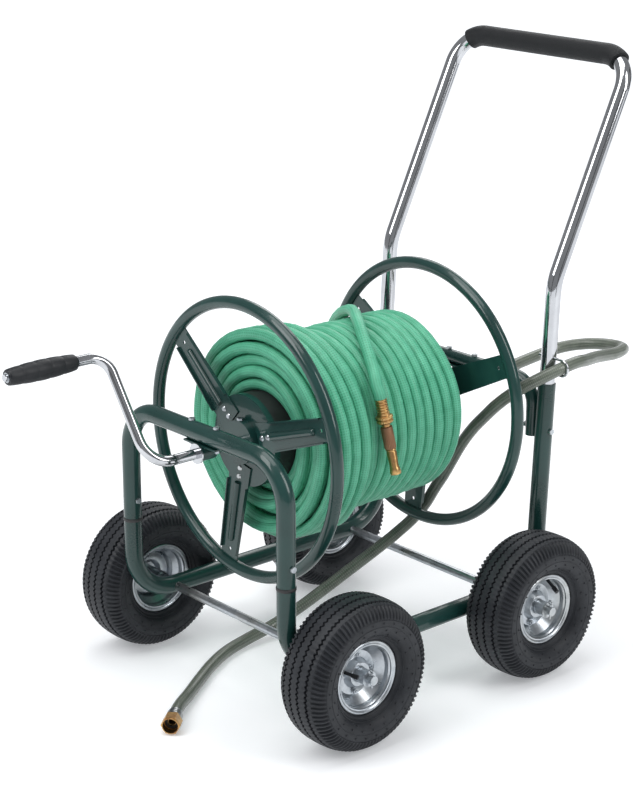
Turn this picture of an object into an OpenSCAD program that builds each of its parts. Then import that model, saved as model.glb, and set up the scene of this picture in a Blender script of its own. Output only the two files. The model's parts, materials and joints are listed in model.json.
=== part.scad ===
// Garden hose reel cart: a four-wheeled tube frame that carries a crank-wound hose drum.
// Millimetres. +Z is up, +X is to the right as seen from the crank, and +Y points from the
// crank towards the push handle. The floor is z = 0, and the origin is on the floor halfway
// between the crank grip's end and the rear of the push handle.

/* [Wheels] */
// Outer radius of a tyre
tyre_r = 131; // [120:1:160]
// Width of a tyre across its side walls
tyre_w = 104; // [90:1:125]
// Radius of the rim's two outer edges
rim_edge_r = 64; // [60:0.5:76]
// Width of the rim between its outer edges
rim_w = 68; // [56:1:82]
// Distance between the middles of a left wheel and a right wheel
track = 558; // [540:1:680]
// Distance between the front axle and the rear axle
wheelbase = 424; // [400:1:510]
// Diameter of the axles
axle_d = 16; // [12:0.5:20]

/* [Chassis] */
// Outer diameter of the chassis tubes
tube_d = 32; // [28:0.5:38]
// Wall of the chassis tubes
tube_wall = 2; // [1.5:0.1:3]
// Distance between the middles of the two side rails
rail_spacing = 418; // [390:1:440]
// Where the front frame stands along the cart
front_frame_y = -252; // [-260:1:-236]
// Where the front axle stands along the cart
front_axle_y = -167; // [-175:1:-160]
// Distance from the rear axle back to where the rear posts' line meets the side rails
post_setback = 77; // [70:1:120]
// How far the rear posts and the handle's lower part lean back, in degrees
post_lean = 2.9; // [0:0.1:6]
// Height of the rear posts' open ends
post_top_z = 504; // [480:1:540]
// Height of the joint where the front frame plugs on to the rails
front_joint_z = 280; // [240:1:330]
// Bend radius of the side rails
rail_bend_r = 85; // [70:1:100]
// Bend radius of the front frame
front_bend_r = 75; // [60:1:100]
// Outer diameter of the bar that holds the rear bearing
rear_bar_d = 24; // [20:0.5:28]
// Height of the bar that holds the rear bearing above the reel's axis
rear_bar_rise = 43; // [38:1:70]

/* [Push handle] */
// Wall of the handle tube
handle_wall = 1.6; // [1.2:0.1:2.4]
// Height where the handle bends back
handle_kink_z = 685; // [640:1:760]
// How far the handle's upper part leans back, in degrees
handle_lean = 25.9; // [10:0.1:35]
// Height of the handle's cross bar
handle_top_z = 1059; // [980:1:1200]
// Bend radius at the handle's two upper corners
handle_bend_r = 60; // [50:1:90]
// Outer diameter of the foam grip on the handle
foam_d = 38; // [34:0.5:46]

/* [Reel] */
// Height of the reel's axis above the floor
reel_axis_z = 459; // [455:1:470]
// Distance from the front frame back to the reel's front flange ring
front_ring_gap = 84; // [76:1:110]
// Distance between the two flange rings
reel_w = 417; // [400:1:425]
// Radius of a flange ring, to the middle of its tube
ring_r = 238; // [215:1:260]
// Diameter of the flange ring's tube
ring_d = 22; // [18:0.5:26]
// Radius of the hub plates
hub_plate_r = 80; // [74:0.5:82]
// Outer radius of the drum that the hose is wound on
drum_r = 79; // [70:0.5:79.5]
// Thickness of the pressed sheet of spokes and hub plates
sheet_t = 2.4; // [1.6:0.1:3]
// Width of a spoke at the hub
spoke_w = 54; // [44:1:58]
// Diameter of the crank rod
crank_d = 18; // [14:0.5:20]
// Diameter of the hollow reel shaft
shaft_d = 24; // [20:0.5:26]

/* [Crank] */
// Distance from the reel's axis to the crank grip's axis
crank_throw = 200; // [160:1:230]
// Direction of the crank arm, in degrees from +X towards +Z
crank_angle = 125; // [90:1:160]
// Where the crank arm stands along the cart
crank_arm_y = -366; // [-380:1:-340]
// Distance from the crank arm forward to the crank grip
grip_offset = 61.2; // [50:0.1:90]
// Length of the crank grip
crank_grip_len = 130; // [110:1:150]

/* [Hose] */
// Outer diameter of the wound hose
hose_d = 21; // [16:0.5:22]
// Outer diameter of the leader hose
leader_d = 22; // [16:0.5:24]
// Outer radius of the wound hose
pack_r = 163; // [140:1:200]
// Outer radius of the few extra turns at the front of the wound hose
pack_front_r = 184; // [164:1:210]

/* [Fits] */
// Radial clearance of a turning fit
run_gap = 0.05; // [0.02:0.01:0.1]
// Radial clearance of tubes that slide into each other
slide_gap = 0.25; // [0.15:0.01:0.5]
// Gap between neighbouring pieces that don't fit together
air_gap = 0.3; // [0.2:0.1:1]

/* [Hidden] */
$fn = 64;
wheel_tags = ["front_left", "front_right", "rear_left", "rear_right"];

steel_green = [0.11, 0.26, 0.25];
chrome = [0.8, 0.8, 0.82];
zinc = [0.72, 0.73, 0.75];
brass = [0.78, 0.58, 0.3];
black = [0.1, 0.1, 0.11];
tyre_black = [0.17, 0.18, 0.2];
hose_green = [0.36, 0.74, 0.56];
hose_grey = [0.45, 0.47, 0.4];

// Chassis, worked out from the driving sizes
rail_x = rail_spacing / 2;
rail_z = tyre_r;
rear_axle_y = front_axle_y + wheelbase;
post_foot_y = rear_axle_y + post_setback;
function lean_y(z) = post_foot_y + (z - rail_z) * tan(post_lean);
spigot_d = tube_d - 2 * tube_wall - 2 * slide_gap;
spigot_up = 55;
spigot_down = 18;
leg_bolt_z = front_joint_z + 37;

// Push handle
handle_d = tube_d - 2 * tube_wall - 2 * slide_gap;
handle_foot_z = post_top_z - 90;
kink_y = lean_y(handle_kink_z);
handle_top_y = kink_y + (handle_top_z - handle_kink_z) * tan(handle_lean);
foam_arc = 34;
kink_bend_r = 110;
bend_seat = 0.4;
bend_hair = 0.1;

// Reel
front_ring_y = front_frame_y + front_ring_gap;
rear_ring_y = front_ring_y + reel_w;
spoke_angle_front = 19;
spoke_angle_rear = 25;
spoke_inner_r = 42;
spoke_tip_w = 42;
weld_depth = 2;
rim_flange = 12;
front_plate_y = front_ring_y + sheet_t / 2 + 0.2;
rear_plate_y = rear_ring_y - sheet_t / 2 - 0.2;
boss_r = 38;
boss_len = 14;
rear_boss_r = 30;
drum_wall = 1.5;
rivet_r = 3;
rivet_radii = [52, 68];
pipe_r = 9;
pipe_angle = 200;
pipe_y = front_ring_y + 41;

// Bearings
bush_wall = 3;
front_bush_r = crank_d / 2 + run_gap + bush_wall;
front_collar_r = front_bush_r + 2.65;
front_top_z = reel_axis_z + front_collar_r + air_gap + tube_d / 2;
rear_bush_r = shaft_d / 2 + run_gap + bush_wall;
rear_collar_r = rear_bush_r + 3.5;
rear_bar_y = lean_y(420);
rear_bar_z = reel_axis_z + rear_bar_rise;
rear_bar_x = rail_x - tube_d / 2 - rear_bar_d / 2 - 0.2;
rear_bar_foot_z = 402;
rear_bar_bend_r = 45;
front_bearing_len = 32;
rear_bearing_len = 30;
bracket_t = 3;
bearing_bolt_x = 33;
bolt_r = 3;
front_flange_r = 17.5;
bush_flange_t = 2.5;
post_bolt_z = 418;

// Crank
crank_dir = [cos(crank_angle), 0, sin(crank_angle)];
crank_end = [0, 0, reel_axis_z] + crank_throw * crank_dir;
crank_inner_y = front_ring_y + 12;
spindle_r = 6;
grip_nut_len = 4;
grip_washer_t = 1.2;
grip_inner_y = crank_arm_y - grip_offset;
grip_outer_y = grip_inner_y - crank_grip_len;
grip_end_y = grip_outer_y - air_gap - grip_washer_t - grip_nut_len;
clamp_bolt_at = boss_len / 2 + 2;

// Inlet
shaft_front_y = crank_inner_y + 2;
swivel_front_y = rear_bar_y + rear_bearing_len / 2 + 4.4;
swivel_rear_y = swivel_front_y + 34;
shaft_rear_y = swivel_rear_y - 10;
inlet_nut_y = swivel_rear_y + 1;
inlet_nut_len = 20;

// Wheels
wheel_x = max(track / 2, rail_x + tube_d / 2 + tyre_w / 2 + 2);
hub_half = 36;
hub_r = 13;
rim_seat_r = rim_edge_r - 9;
rim_t = 2.4;
washer_t = 2;
axle_end_x = wheel_x + hub_half + 14;

// Hoses. Each route is the line of the hose's middle.
inlet_end_y = inlet_nut_y + inlet_nut_len + 1;
coupling_base = [28, -346, 18];
coupling_angle = -48;
coupling_dir = [cos(coupling_angle), sin(coupling_angle), 0];
leader_route = [
  [0, inlet_end_y + 0.2, reel_axis_z], [0, 470, 460], [1, 520, 466], [6, 572, 473], [17, 606, 479], [42, 633, 485],
  [76, 647, 490], [113, 645, 495], [145, 628, 501], [168, 599, 507], [184, 560, 512],
  [194, 524, 518], [210, 476, 527], [229, 430, 535], [240.5, 392, 541], [240.5, 352, 537],
  [220, 314, 519], [190, 291, 495], [158, 283, 467], [128, 283, 438], [95, 284, 404],
  [67, 285, 369], [46, 285, 337], [24, 283, 300], [2, 284, 266], [-16, 279, 233],
  [-34, 268, 203], [-53, 244, 173], [-75, 208, 141], [-97, 168, 112], [-112, 122, 78],
  [-127, 62, 38], [-139, -2, 16], [-144, -64, 12], [-128, -112, 12], [-102, -160, 12],
  [-52, -234, 12], [-18, -285, 14],
  coupling_base - 22 * coupling_dir, coupling_base
];
nozzle_base = [168, -10, 541];
nozzle_dir = [21, 17, -129];
free_end_route = [
  [-65, 118, 621], [-31, 104, 632], [25, 66, 634], [74, 35, 620], [120, 12, 590],
  [147, -3, 572], [160, -10, 558], nozzle_base - 8 * unit(nozzle_dir), nozzle_base
];
coupling_nut_r = 17;
thread_r = 13.3;
pack_front_y = front_ring_y + 30.5;
pack_rear_y = rear_ring_y - 45;
pack_step_y = pack_front_y + 4 * hose_d;
pack_inner_r = drum_r + 0.5;
pack_round = 9;
hook_wire_r = 2.5;
hook_at = [rail_x + tube_d / 2 + 15.5, lean_y(544), 537.5];
hook_r = leader_d / 2 + 0.6 + hook_wire_r;

// ---- helpers ----
function unit(v) = v / norm(v);
function turn_at(a, b, c) = acos(max(-1, min(1, unit(b - a) * unit(c - b))));
function cut_back(p, i, r) = r * tan(turn_at(p[i - 1], p[i], p[i + 1]) / 2);

// Puts its children's +Z along d, with the origin at a.
module along(a, d) {
  z = unit(d);
  side = abs(z[2]) > 0.9 ? [0, 1, 0] : [0, 0, 1];
  x = unit(cross(side, z));
  y = cross(z, x);
  multmatrix([[x[0], y[0], z[0], a[0]], [x[1], y[1], z[1], a[1]], [x[2], y[2], z[2], a[2]], [0, 0, 0, 1]])
    children();
}

// A straight round bar or tube from a to b.
module bar(a, b, d, wall = 0) {
  along(a, b - a) difference() {
    cylinder(h = norm(b - a), d = d);
    if (wall > 0) translate([0, 0, -1]) cylinder(h = norm(b - a) + 2, d = d - 2 * wall);
  }
}

// The round elbow at point b of a bent tube, with bend radius r, or an arc of it.
module elbow(a, b, c, r, d, wall = 0, from = 0, arc = 0) {
  into = unit(b - a);
  out = unit(c - b);
  turn = turn_at(a, b, c);
  start = b - into * r * tan(turn / 2);
  inward = unit(out - into * (out * into));
  middle = start + r * inward;
  x = -inward;
  z = cross(x, into);
  multmatrix([[x[0], into[0], z[0], middle[0]], [x[1], into[1], z[1], middle[1]],
              [x[2], into[2], z[2], middle[2]], [0, 0, 0, 1]])
    rotate_extrude(start = from, angle = arc > 0 ? arc : turn) translate([r, 0]) difference() {
      circle(d = d);
      if (wall > 0) circle(d = d - 2 * wall);
    }
}

// A tube through the corners p, rounded at each inner corner by the radii r. Each straight length
// is let into its elbows by a short seat, and the elbows are a hair fatter, as a formed bend is.
module bent_tube(p, r, d, wall = 0) {
  last = len(p) - 1;
  for (i = [0 : last - 1]) {
    into = i == 0 ? 0 : cut_back(p, i, r[i - 1]) - bend_seat;
    out = i == last - 1 ? 0 : cut_back(p, i + 1, r[i]) - bend_seat;
    way = unit(p[i + 1] - p[i]);
    bar(p[i] + into * way, p[i + 1] - out * way, d, wall);
    if (i < last - 1)
      elbow(p[i], p[i + 1], p[i + 2], r[i], d + 2 * bend_hair, wall > 0 ? wall + 2 * bend_hair : 0);
  }
}

// Turned shape about an axis through a along d; the outline is a list of [radius, height].
module turned(a, d, outline) {
  along(a, d) rotate_extrude() polygon(outline);
}

module ring_bar(h, outer, inner) {
  difference() {
    cylinder(h = h, r = outer);
    translate([0, 0, -1]) cylinder(h = h + 2, r = inner);
  }
}

// Sweeps a round section with the given number of sides along a route.
module swept(route, r, sides) {
  n = len(route);
  function way(i) = unit(route[min(i + 1, n - 1)] - route[max(i - 1, 0)]);
  function frame_x(i) = i == 0
    ? unit(cross(abs(way(0)[2]) > 0.9 ? [1, 0, 0] : [0, 0, 1], way(0)))
    : let (before = frame_x(i - 1)) unit(before - way(i) * (before * way(i)));
  xs = [for (i = 0, x = frame_x(0); i < n; i = i + 1,
        x = i < n ? unit(x - way(i) * (x * way(i))) : x) x];
  rings = [for (i = [0 : n - 1]) for (k = [0 : sides - 1])
    let (a = 360 * k / sides, y = cross(way(i), xs[i])) route[i] + r * (cos(a) * xs[i] + sin(a) * y)];
  walls = [for (i = [0 : n - 2]) for (k = [0 : sides - 1])
    let (m = (k + 1) % sides) [(i + 1) * sides + k, (i + 1) * sides + m, i * sides + m, i * sides + k]];
  start_cap = [for (k = [0 : sides - 1]) k];
  end_cap = [for (k = [0 : sides - 1]) n * sides - 1 - k];
  polyhedron(rings, concat(walls, [start_cap, end_cap]));
}

// ---- chassis ----
// One side: the reduced spigot inside the front frame's leg, the front leg, the rail and the rear post.
module side_rail(x) {
  spigot_wall = 2;
  color(steel_green) difference() {
    union() {
      bent_tube([[x, front_frame_y, front_joint_z - 0.2], [x, front_frame_y, rail_z],
                 [x, post_foot_y, rail_z], [x, lean_y(post_top_z), post_top_z]],
                [rail_bend_r, rail_bend_r], tube_d, tube_wall);
      translate([x, front_frame_y, front_joint_z - spigot_down])
        ring_bar(spigot_up + spigot_down, spigot_d / 2, spigot_d / 2 - spigot_wall);
      translate([x, front_frame_y, front_joint_z - spigot_down])
        ring_bar(6, tube_d / 2 - tube_wall + 0.5, spigot_d / 2 - spigot_wall);
    }
    for (y = [front_axle_y, rear_axle_y])
      translate([x - tube_d, y, rail_z]) rotate([0, 90, 0]) cylinder(h = 2 * tube_d, d = axle_d + 0.2);
    translate([x - tube_d, lean_y(post_bolt_z), post_bolt_z]) rotate([0, 90, 0])
      cylinder(h = 2 * tube_d, r = bolt_r + 0.1);
    translate([x - tube_d, front_frame_y, leg_bolt_z]) rotate([0, 90, 0])
      cylinder(h = 2 * tube_d, r = bolt_r + 0.1);
  }
}

module left_side_rail() { side_rail(-rail_x); }
module right_side_rail() { side_rail(rail_x); }

module front_frame() {
  color(steel_green) difference() {
    bent_tube([[-rail_x, front_frame_y, front_joint_z], [-rail_x, front_frame_y, front_top_z],
               [rail_x, front_frame_y, front_top_z], [rail_x, front_frame_y, front_joint_z]],
              [front_bend_r, front_bend_r], tube_d, tube_wall);
    for (x = [-bearing_bolt_x, bearing_bolt_x])
      translate([x, front_frame_y, front_top_z - tube_d]) cylinder(h = 2 * tube_d, r = bolt_r + 0.1);
    translate([-rail_x - tube_d, front_frame_y, leg_bolt_z]) rotate([0, 90, 0])
      cylinder(h = 2 * (rail_x + tube_d), r = bolt_r + 0.1);
  }
}

module rear_bearing_bar() {
  color(steel_green) difference() {
    bent_tube([[-rear_bar_x, rear_bar_y, rear_bar_foot_z], [-rear_bar_x, rear_bar_y, rear_bar_z],
               [rear_bar_x, rear_bar_y, rear_bar_z], [rear_bar_x, rear_bar_y, rear_bar_foot_z]],
              [rear_bar_bend_r, rear_bar_bend_r], rear_bar_d, tube_wall);
    for (x = [-rear_bar_x, rear_bar_x])
      translate([x - tube_d, rear_bar_y, post_bolt_z]) rotate([0, 90, 0])
        cylinder(h = 2 * tube_d, r = bolt_r + 0.1);
    for (x = [-bearing_bolt_x, bearing_bolt_x])
      translate([x, rear_bar_y, rear_bar_z - tube_d]) cylinder(h = 2 * tube_d, r = bolt_r + 0.1);
  }
}

handle_path = [
  [-rail_x, lean_y(handle_foot_z), handle_foot_z], [-rail_x, kink_y, handle_kink_z],
  [-rail_x, handle_top_y, handle_top_z], [rail_x, handle_top_y, handle_top_z],
  [rail_x, kink_y, handle_kink_z], [rail_x, lean_y(handle_foot_z), handle_foot_z]
];

module push_handle() {
  color(chrome) difference() {
    bent_tube(handle_path, [kink_bend_r, handle_bend_r, handle_bend_r, kink_bend_r], handle_d, handle_wall);
    for (x = [-rail_x, rail_x])
      translate([x - tube_d, lean_y(post_bolt_z), post_bolt_z]) rotate([0, 90, 0])
        cylinder(h = 2 * tube_d, r = bolt_r + 0.1);
    translate([rail_x - tube_d, hook_at[1], hook_at[2] + hook_r]) rotate([0, 90, 0])
      cylinder(h = 2 * tube_d, r = hook_wire_r + 0.1);
  }
}

// The foam covers the cross bar and the first part of both corners.
module handle_foam_grip() {
  foam_wall = (foam_d - handle_d) / 2 - air_gap;
  inner = rail_x - handle_bend_r + bend_seat;
  corner = [handle_path[1], handle_path[2], handle_path[3], handle_path[4]];
  turn = turn_at(corner[0], corner[1], corner[2]);
  color(black) {
    bar([-inner, handle_top_y, handle_top_z], [inner, handle_top_y, handle_top_z], foam_d, foam_wall);
    elbow(corner[0], corner[1], corner[2], handle_bend_r, foam_d + 2 * bend_hair, foam_wall + 2 * bend_hair,
          turn - foam_arc, foam_arc);
    elbow(corner[1], corner[2], corner[3], handle_bend_r, foam_d + 2 * bend_hair, foam_wall + 2 * bend_hair,
          0, foam_arc);
  }
}

// One hex-headed bolt with its nut, along +X from the head's underside.
module cross_bolt(grip_len) {
  rotate([0, 90, 0]) {
    cylinder(h = grip_len + 7, r = bolt_r);
    translate([0, 0, -4]) cylinder(h = 4, r = 5.6, $fn = 6);
    translate([0, 0, grip_len]) difference() {
      cylinder(h = 5, r = 5.6, $fn = 6);
      translate([0, 0, -1]) cylinder(h = 8, r = bolt_r);
    }
  }
}

module frame_bolts() {
  color(zinc) for (s = [-1, 1]) {
    // through the post, the handle and the rear bar's end
    translate([s * (rail_x + tube_d / 2 + 0.2), lean_y(post_bolt_z), post_bolt_z])
      rotate([0, 0, s > 0 ? 180 : 0]) cross_bolt(tube_d + rear_bar_d + 0.8);
    // through the front frame's leg and the spigot inside it
    translate([s * rail_x + tube_d / 2 + 0.2, front_frame_y, leg_bolt_z]) rotate([0, 0, 180])
      cross_bolt(tube_d + 0.4);
  }
}

module hose_hook() {
  color(chrome) {
    top = [hook_at[0], hook_at[1], hook_at[2] + hook_r];
    bar([rail_x - tube_d / 2 - 6, top[1], top[2]], top, 2 * hook_wire_r);
    translate(hook_at) rotate([90, 0, 0]) rotate_extrude(start = -180, angle = 270)
      translate([hook_r, 0]) circle(r = hook_wire_r);
  }
}

// ---- axles and wheels ----
module axle(y) {
  color(zinc) difference() {
    translate([-axle_end_x, y, rail_z]) rotate([0, 90, 0]) cylinder(h = 2 * axle_end_x, d = axle_d);
    for (s = [-1, 1])
      translate([s * (axle_end_x - 6), y, rail_z - axle_d]) cylinder(h = 2 * axle_d, r = 1.8);
  }
}

module front_axle() { axle(front_axle_y); }
module rear_axle() { axle(rear_axle_y); }

module axle_spacers() {
  start = rail_x + tube_d / 2 + air_gap;
  color(zinc) for (y = [front_axle_y, rear_axle_y]) for (s = [-1, 1])
    translate([s > 0 ? start : -wheel_x + hub_half + air_gap, y, rail_z]) rotate([0, 90, 0])
      ring_bar(wheel_x - hub_half - air_gap - start, axle_d / 2 + 3, axle_d / 2 + 0.1);
}

module axle_washers() {
  start = wheel_x + hub_half + air_gap;
  color(zinc) for (y = [front_axle_y, rear_axle_y]) for (s = [-1, 1])
    translate([s > 0 ? start : -start - washer_t, y, rail_z]) rotate([0, 90, 0])
      ring_bar(washer_t, axle_d / 2 + 6, axle_d / 2 + 0.2);
}

module cotter_pins() {
  color(zinc) for (y = [front_axle_y, rear_axle_y]) for (s = [-1, 1])
    translate([s * (axle_end_x - 6), y, rail_z]) {
      translate([0, 0, -axle_d / 2 - 7]) cylinder(h = axle_d + 12, r = 1.6);
      translate([0, 0, axle_d / 2 + 8]) rotate([90, 0, 0]) rotate_extrude() translate([3.4, 0]) circle(r = 1.4);
    }
}

function tyre_side(half, up, down, middle, from, to, n) = [for (k = [0 : n])
  let (a = from + (to - from) * k / n, c = cos(a), s = sin(a), e = 0.8)
  [middle + (s >= 0 ? up : down) * sign(s) * pow(abs(s), e), half * sign(c) * pow(abs(c), e)]];

// Radial section of the tyre: casing, side walls and the two beads that grip the rim.
module tyre_section() {
  middle = (tyre_r + rim_edge_r) / 2;
  up = tyre_r - middle;
  down = middle - rim_edge_r - 1;
  wall = 7;
  bead_half = rim_w / 2 - rim_t - 0.3;
  outer = tyre_side(tyre_w / 2, up, down, middle, -52, 232, 40);
  inner = tyre_side(tyre_w / 2 - wall, up - wall - 2, down - wall, middle, 228, -48, 30);
  polygon(concat(
    [[rim_seat_r + 0.2, bead_half], [rim_edge_r + 1.5, bead_half]], outer,
    [[rim_edge_r + 1.5, -bead_half], [rim_seat_r + 0.2, -bead_half], [rim_seat_r + 0.2, -bead_half + 10]],
    inner, [[rim_seat_r + 0.2, bead_half - 10]]));
}

module wheel_at(x, y) {
  translate([x, y, rail_z]) rotate([0, x > 0 ? 90 : -90, 0]) children();
}

module tyre(x, y) {
  color(tyre_black) wheel_at(x, y) rotate_extrude($fn = 96) tyre_section();
}

// A steel rim: two edges, bead seats, a well and a dished centre that holds the hub.
module rim(x, y, angle) {
  half = rim_w / 2;
  well_r = rim_seat_r - 9;
  color(zinc) wheel_at(x, y) difference() {
    rotate_extrude() polygon([
      [rim_edge_r, half], [rim_edge_r, half - rim_t], [rim_seat_r, half - rim_t],
      [rim_seat_r, half - 16], [well_r, half - 24], [well_r, -half + 24], [rim_seat_r, -half + 16],
      [rim_seat_r, -half + rim_t], [rim_edge_r, -half + rim_t], [rim_edge_r, -half],
      [rim_seat_r - rim_t, -half], [rim_seat_r - rim_t, -half + 16.5], [well_r - rim_t, -half + 24.5],
      [well_r - rim_t, half - 24.5 - 1], [well_r - rim_t - 4, 1.5], [hub_r + 12, 1.5], [hub_r + 6, 14],
      [hub_r + 0.1, 14], [hub_r + 0.1, 16.4], [hub_r + 7.6, 16.4], [hub_r + 13.6, 4],
      [well_r - rim_t - 5, 4], [well_r - rim_t, half - 23.5], [rim_seat_r - rim_t, half - 15.5],
      [rim_seat_r - rim_t, half]]);
    at_valve(angle) translate([0, 0, -30]) cylinder(h = 30, r = valve_stem_r + 0.1);
  }
}

module hub(x, y) {
  color(zinc) wheel_at(x, y) difference() {
    union() {
      translate([0, 0, -hub_half]) cylinder(h = 2 * hub_half, r = hub_r);
      translate([0, 0, 8]) cylinder(h = 5.9, r = hub_r + 4.5);
    }
    translate([0, 0, -hub_half - 1]) cylinder(h = 2 * hub_half + 2, r = axle_d / 2 + run_gap);
  }
}

// Puts +Z along a valve stem, with the origin where the stem stands free of the rim.
module at_valve(angle) {
  rotate([0, 0, angle]) translate([rim_seat_r - rim_t - 5, 0, rim_w / 2 - 10]) rotate([0, -26, 0]) children();
}

// The valve's foot inside the tyre, its stem through the rim and its cap.
module valve(x, y, angle) {
  color(black) wheel_at(x, y) at_valve(angle) {
    translate([0, 0, -14]) cylinder(h = 2, r = 6);
    translate([0, 0, -13]) cylinder(h = 37, r = valve_stem_r);
    translate([0, 0, 15]) cylinder(h = 11, r = valve_stem_r + 1);
  }
}

valve_stem_r = 3;
valve_angles = [200, 245, 120, 160];
function wheel_place(i) = [i % 2 == 0 ? -wheel_x : wheel_x, i < 2 ? front_axle_y : rear_axle_y];
module wheel_tyre(i) { tyre(wheel_place(i)[0], wheel_place(i)[1]); }
module wheel_rim(i) { rim(wheel_place(i)[0], wheel_place(i)[1], valve_angles[i]); }
module wheel_hub(i) { hub(wheel_place(i)[0], wheel_place(i)[1]); }
module wheel_valve(i) { valve(wheel_place(i)[0], wheel_place(i)[1], valve_angles[i]); }

// ---- bearings ----
module bearing_bracket(y, bar_bottom, collar, bore, length) {
  color(steel_green) difference() {
    union() {
      translate([0, y - length / 2, reel_axis_z]) rotate([-90, 0, 0]) cylinder(h = length, r = collar);
      translate([-bearing_bolt_x - 9, y - 12, bar_bottom - bracket_t]) cube([2 * bearing_bolt_x + 18, 24, bracket_t]);
      translate([-collar * 0.8, y - 10, reel_axis_z]) cube([collar * 1.6, 20, bar_bottom - reel_axis_z - 0.5]);
    }
    translate([0, y - length, reel_axis_z]) rotate([-90, 0, 0]) cylinder(h = 2 * length, r = bore);
    for (x = [-bearing_bolt_x, bearing_bolt_x])
      translate([x, y, bar_bottom - 20]) cylinder(h = 40, r = bolt_r + 0.1);
  }
}

module front_bearing_bracket() {
  bearing_bracket(front_frame_y, front_top_z - tube_d / 2 - 0.1, front_collar_r, front_bush_r + 0.02,
                  front_bearing_len);
}

module rear_bearing_bracket() {
  bearing_bracket(rear_bar_y, rear_bar_z - rear_bar_d / 2 - 0.1, rear_collar_r, rear_bush_r + 0.02,
                  rear_bearing_len);
}

// A flanged bush, its flange towards -Y.
module bush(y, length, outer, bore, flange_r) {
  translate([0, y - length / 2, reel_axis_z]) rotate([-90, 0, 0]) difference() {
    union() {
      cylinder(h = length, r = outer);
      translate([0, 0, -bush_flange_t - 0.1]) cylinder(h = bush_flange_t, r = flange_r);
      translate([0, 0, -bush_flange_t - 0.1]) cylinder(h = bush_flange_t + 0.2, r = outer);
    }
    translate([0, 0, -10]) cylinder(h = length + 20, r = bore);
  }
}

module front_bush() {
  color(chrome) bush(front_frame_y, front_bearing_len, front_bush_r, crank_d / 2 + run_gap, front_flange_r);
}

module rear_bush() {
  color(chrome) bush(rear_bar_y, rear_bearing_len, rear_bush_r, shaft_d / 2 + run_gap, rear_collar_r);
}

module bearing_bolt(y, bar_z, bar_d) {
  for (x = [-bearing_bolt_x, bearing_bolt_x]) translate([x, y, bar_z]) {
    bottom = -bar_d / 2 - bracket_t - 0.1;
    translate([0, 0, bottom - 7]) cylinder(h = bar_d + bracket_t + 7.5, r = bolt_r);
    translate([0, 0, bar_d / 2 + 0.1]) cylinder(h = 4, r = 5.6, $fn = 6);
    translate([0, 0, bottom - 5.2]) difference() {
      cylinder(h = 5, r = 5.6, $fn = 6);
      translate([0, 0, -1]) cylinder(h = 8, r = bolt_r);
    }
  }
}

module bearing_bolts() {
  color(zinc) {
    bearing_bolt(front_frame_y, front_top_z, tube_d);
    bearing_bolt(rear_bar_y, rear_bar_z, rear_bar_d);
  }
}

// ---- reel ----
module flange_ring(y) {
  color(steel_green) translate([0, y, reel_axis_z]) rotate([90, 0, 0])
    rotate_extrude($fn = 128) translate([ring_r, 0]) difference() {
      circle(d = ring_d);
      circle(d = ring_d - 3);
    }
}

module front_ring() { flange_ring(front_ring_y); }
module rear_ring() { flange_ring(rear_ring_y); }

// One pressed spoke along +X in the plane z = 0, with folded edges and a raised rib.
module spoke() {
  outer = ring_r - ring_d / 2 + weld_depth;
  fold = 7;
  fold_from = hub_plate_r + 2;
  fold_to = outer - 14;
  rib_r = 7;
  difference() {
    union() {
      difference() {
        translate([0, 0, -sheet_t / 2]) linear_extrude(fold) polygon([
          [spoke_inner_r, -spoke_w / 2], [outer, -spoke_tip_w / 2],
          [outer, spoke_tip_w / 2], [spoke_inner_r, spoke_w / 2]]);
        translate([0, 0, sheet_t / 2]) linear_extrude(fold) polygon([
          for (s = [-1, 1]) for (r = s < 0 ? [0, 2 * outer] : [2 * outer, 0]) [r, s * (spoke_edge(r) - sheet_t)]]);
        translate([0, -spoke_w, sheet_t / 2]) cube([fold_from, 2 * spoke_w, fold]);
        translate([fold_to, -spoke_w, sheet_t / 2]) cube([outer, 2 * spoke_w, fold]);
      }
      translate([hub_plate_r, 0, 0]) rotate([0, 90, 0]) cylinder(h = outer - hub_plate_r - 40, r = rib_r);
      translate([outer - 40, 0, 0]) sphere(r = rib_r - 0.1);
    }
    translate([0, -spoke_w, -sheet_t / 2 - 2 * rib_r]) cube([2 * outer, 2 * spoke_w, 2 * rib_r]);
    for (r = rivet_radii) translate([r, 0, -20]) cylinder(h = 40, r = rivet_r + 0.1);
    translate([outer - 18, 0, -20]) cylinder(h = 40, r = 3.2);
  }
}
function spoke_edge(r) = spoke_w / 2 + (spoke_tip_w - spoke_w) / 2 * (r - spoke_inner_r)
  / (ring_r - ring_d / 2 + weld_depth - spoke_inner_r);

module front_spokes() {
  color(steel_green) for (k = [0 : 2])
    translate([0, front_ring_y, reel_axis_z]) rotate([90, 0, 0]) rotate([0, 0, spoke_angle_front + 120 * k]) spoke();
}

module rear_spokes() {
  color(steel_green) for (k = [0 : 2])
    translate([0, rear_ring_y, reel_axis_z]) rotate([90, 0, 0]) rotate([0, 0, spoke_angle_rear + 120 * k])
      mirror([0, 0, 1]) spoke();
}

// A hub plate about +Z: disc, rim towards +Z and a boss towards -Z.
module hub_plate(boss, boss_h, bore, angle) {
  difference() {
    union() {
      cylinder(h = sheet_t, r = hub_plate_r);
      ring_bar(rim_flange, hub_plate_r, hub_plate_r - sheet_t);
      translate([0, 0, -boss_h]) cylinder(h = boss_h + sheet_t, r = boss);
    }
    translate([0, 0, -boss_h - 1]) cylinder(h = boss_h + 20, r = bore);
    for (k = [0 : 2]) for (r = rivet_radii) rotate([0, 0, angle + 120 * k]) translate([r, 0, -1])
      cylinder(h = 10, r = rivet_r + 0.1);
  }
}

module front_hub_plate() {
  color(steel_green) difference() {
    translate([0, front_plate_y, reel_axis_z]) rotate([-90, 0, 0])
      hub_plate(boss_r, boss_len, crank_d / 2 + 0.1, -spoke_angle_front);
    translate([0, front_plate_y - clamp_bolt_at, reel_axis_z]) cylinder(h = 2 * boss_r, r = bolt_r + 0.1);
  }
}

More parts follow.
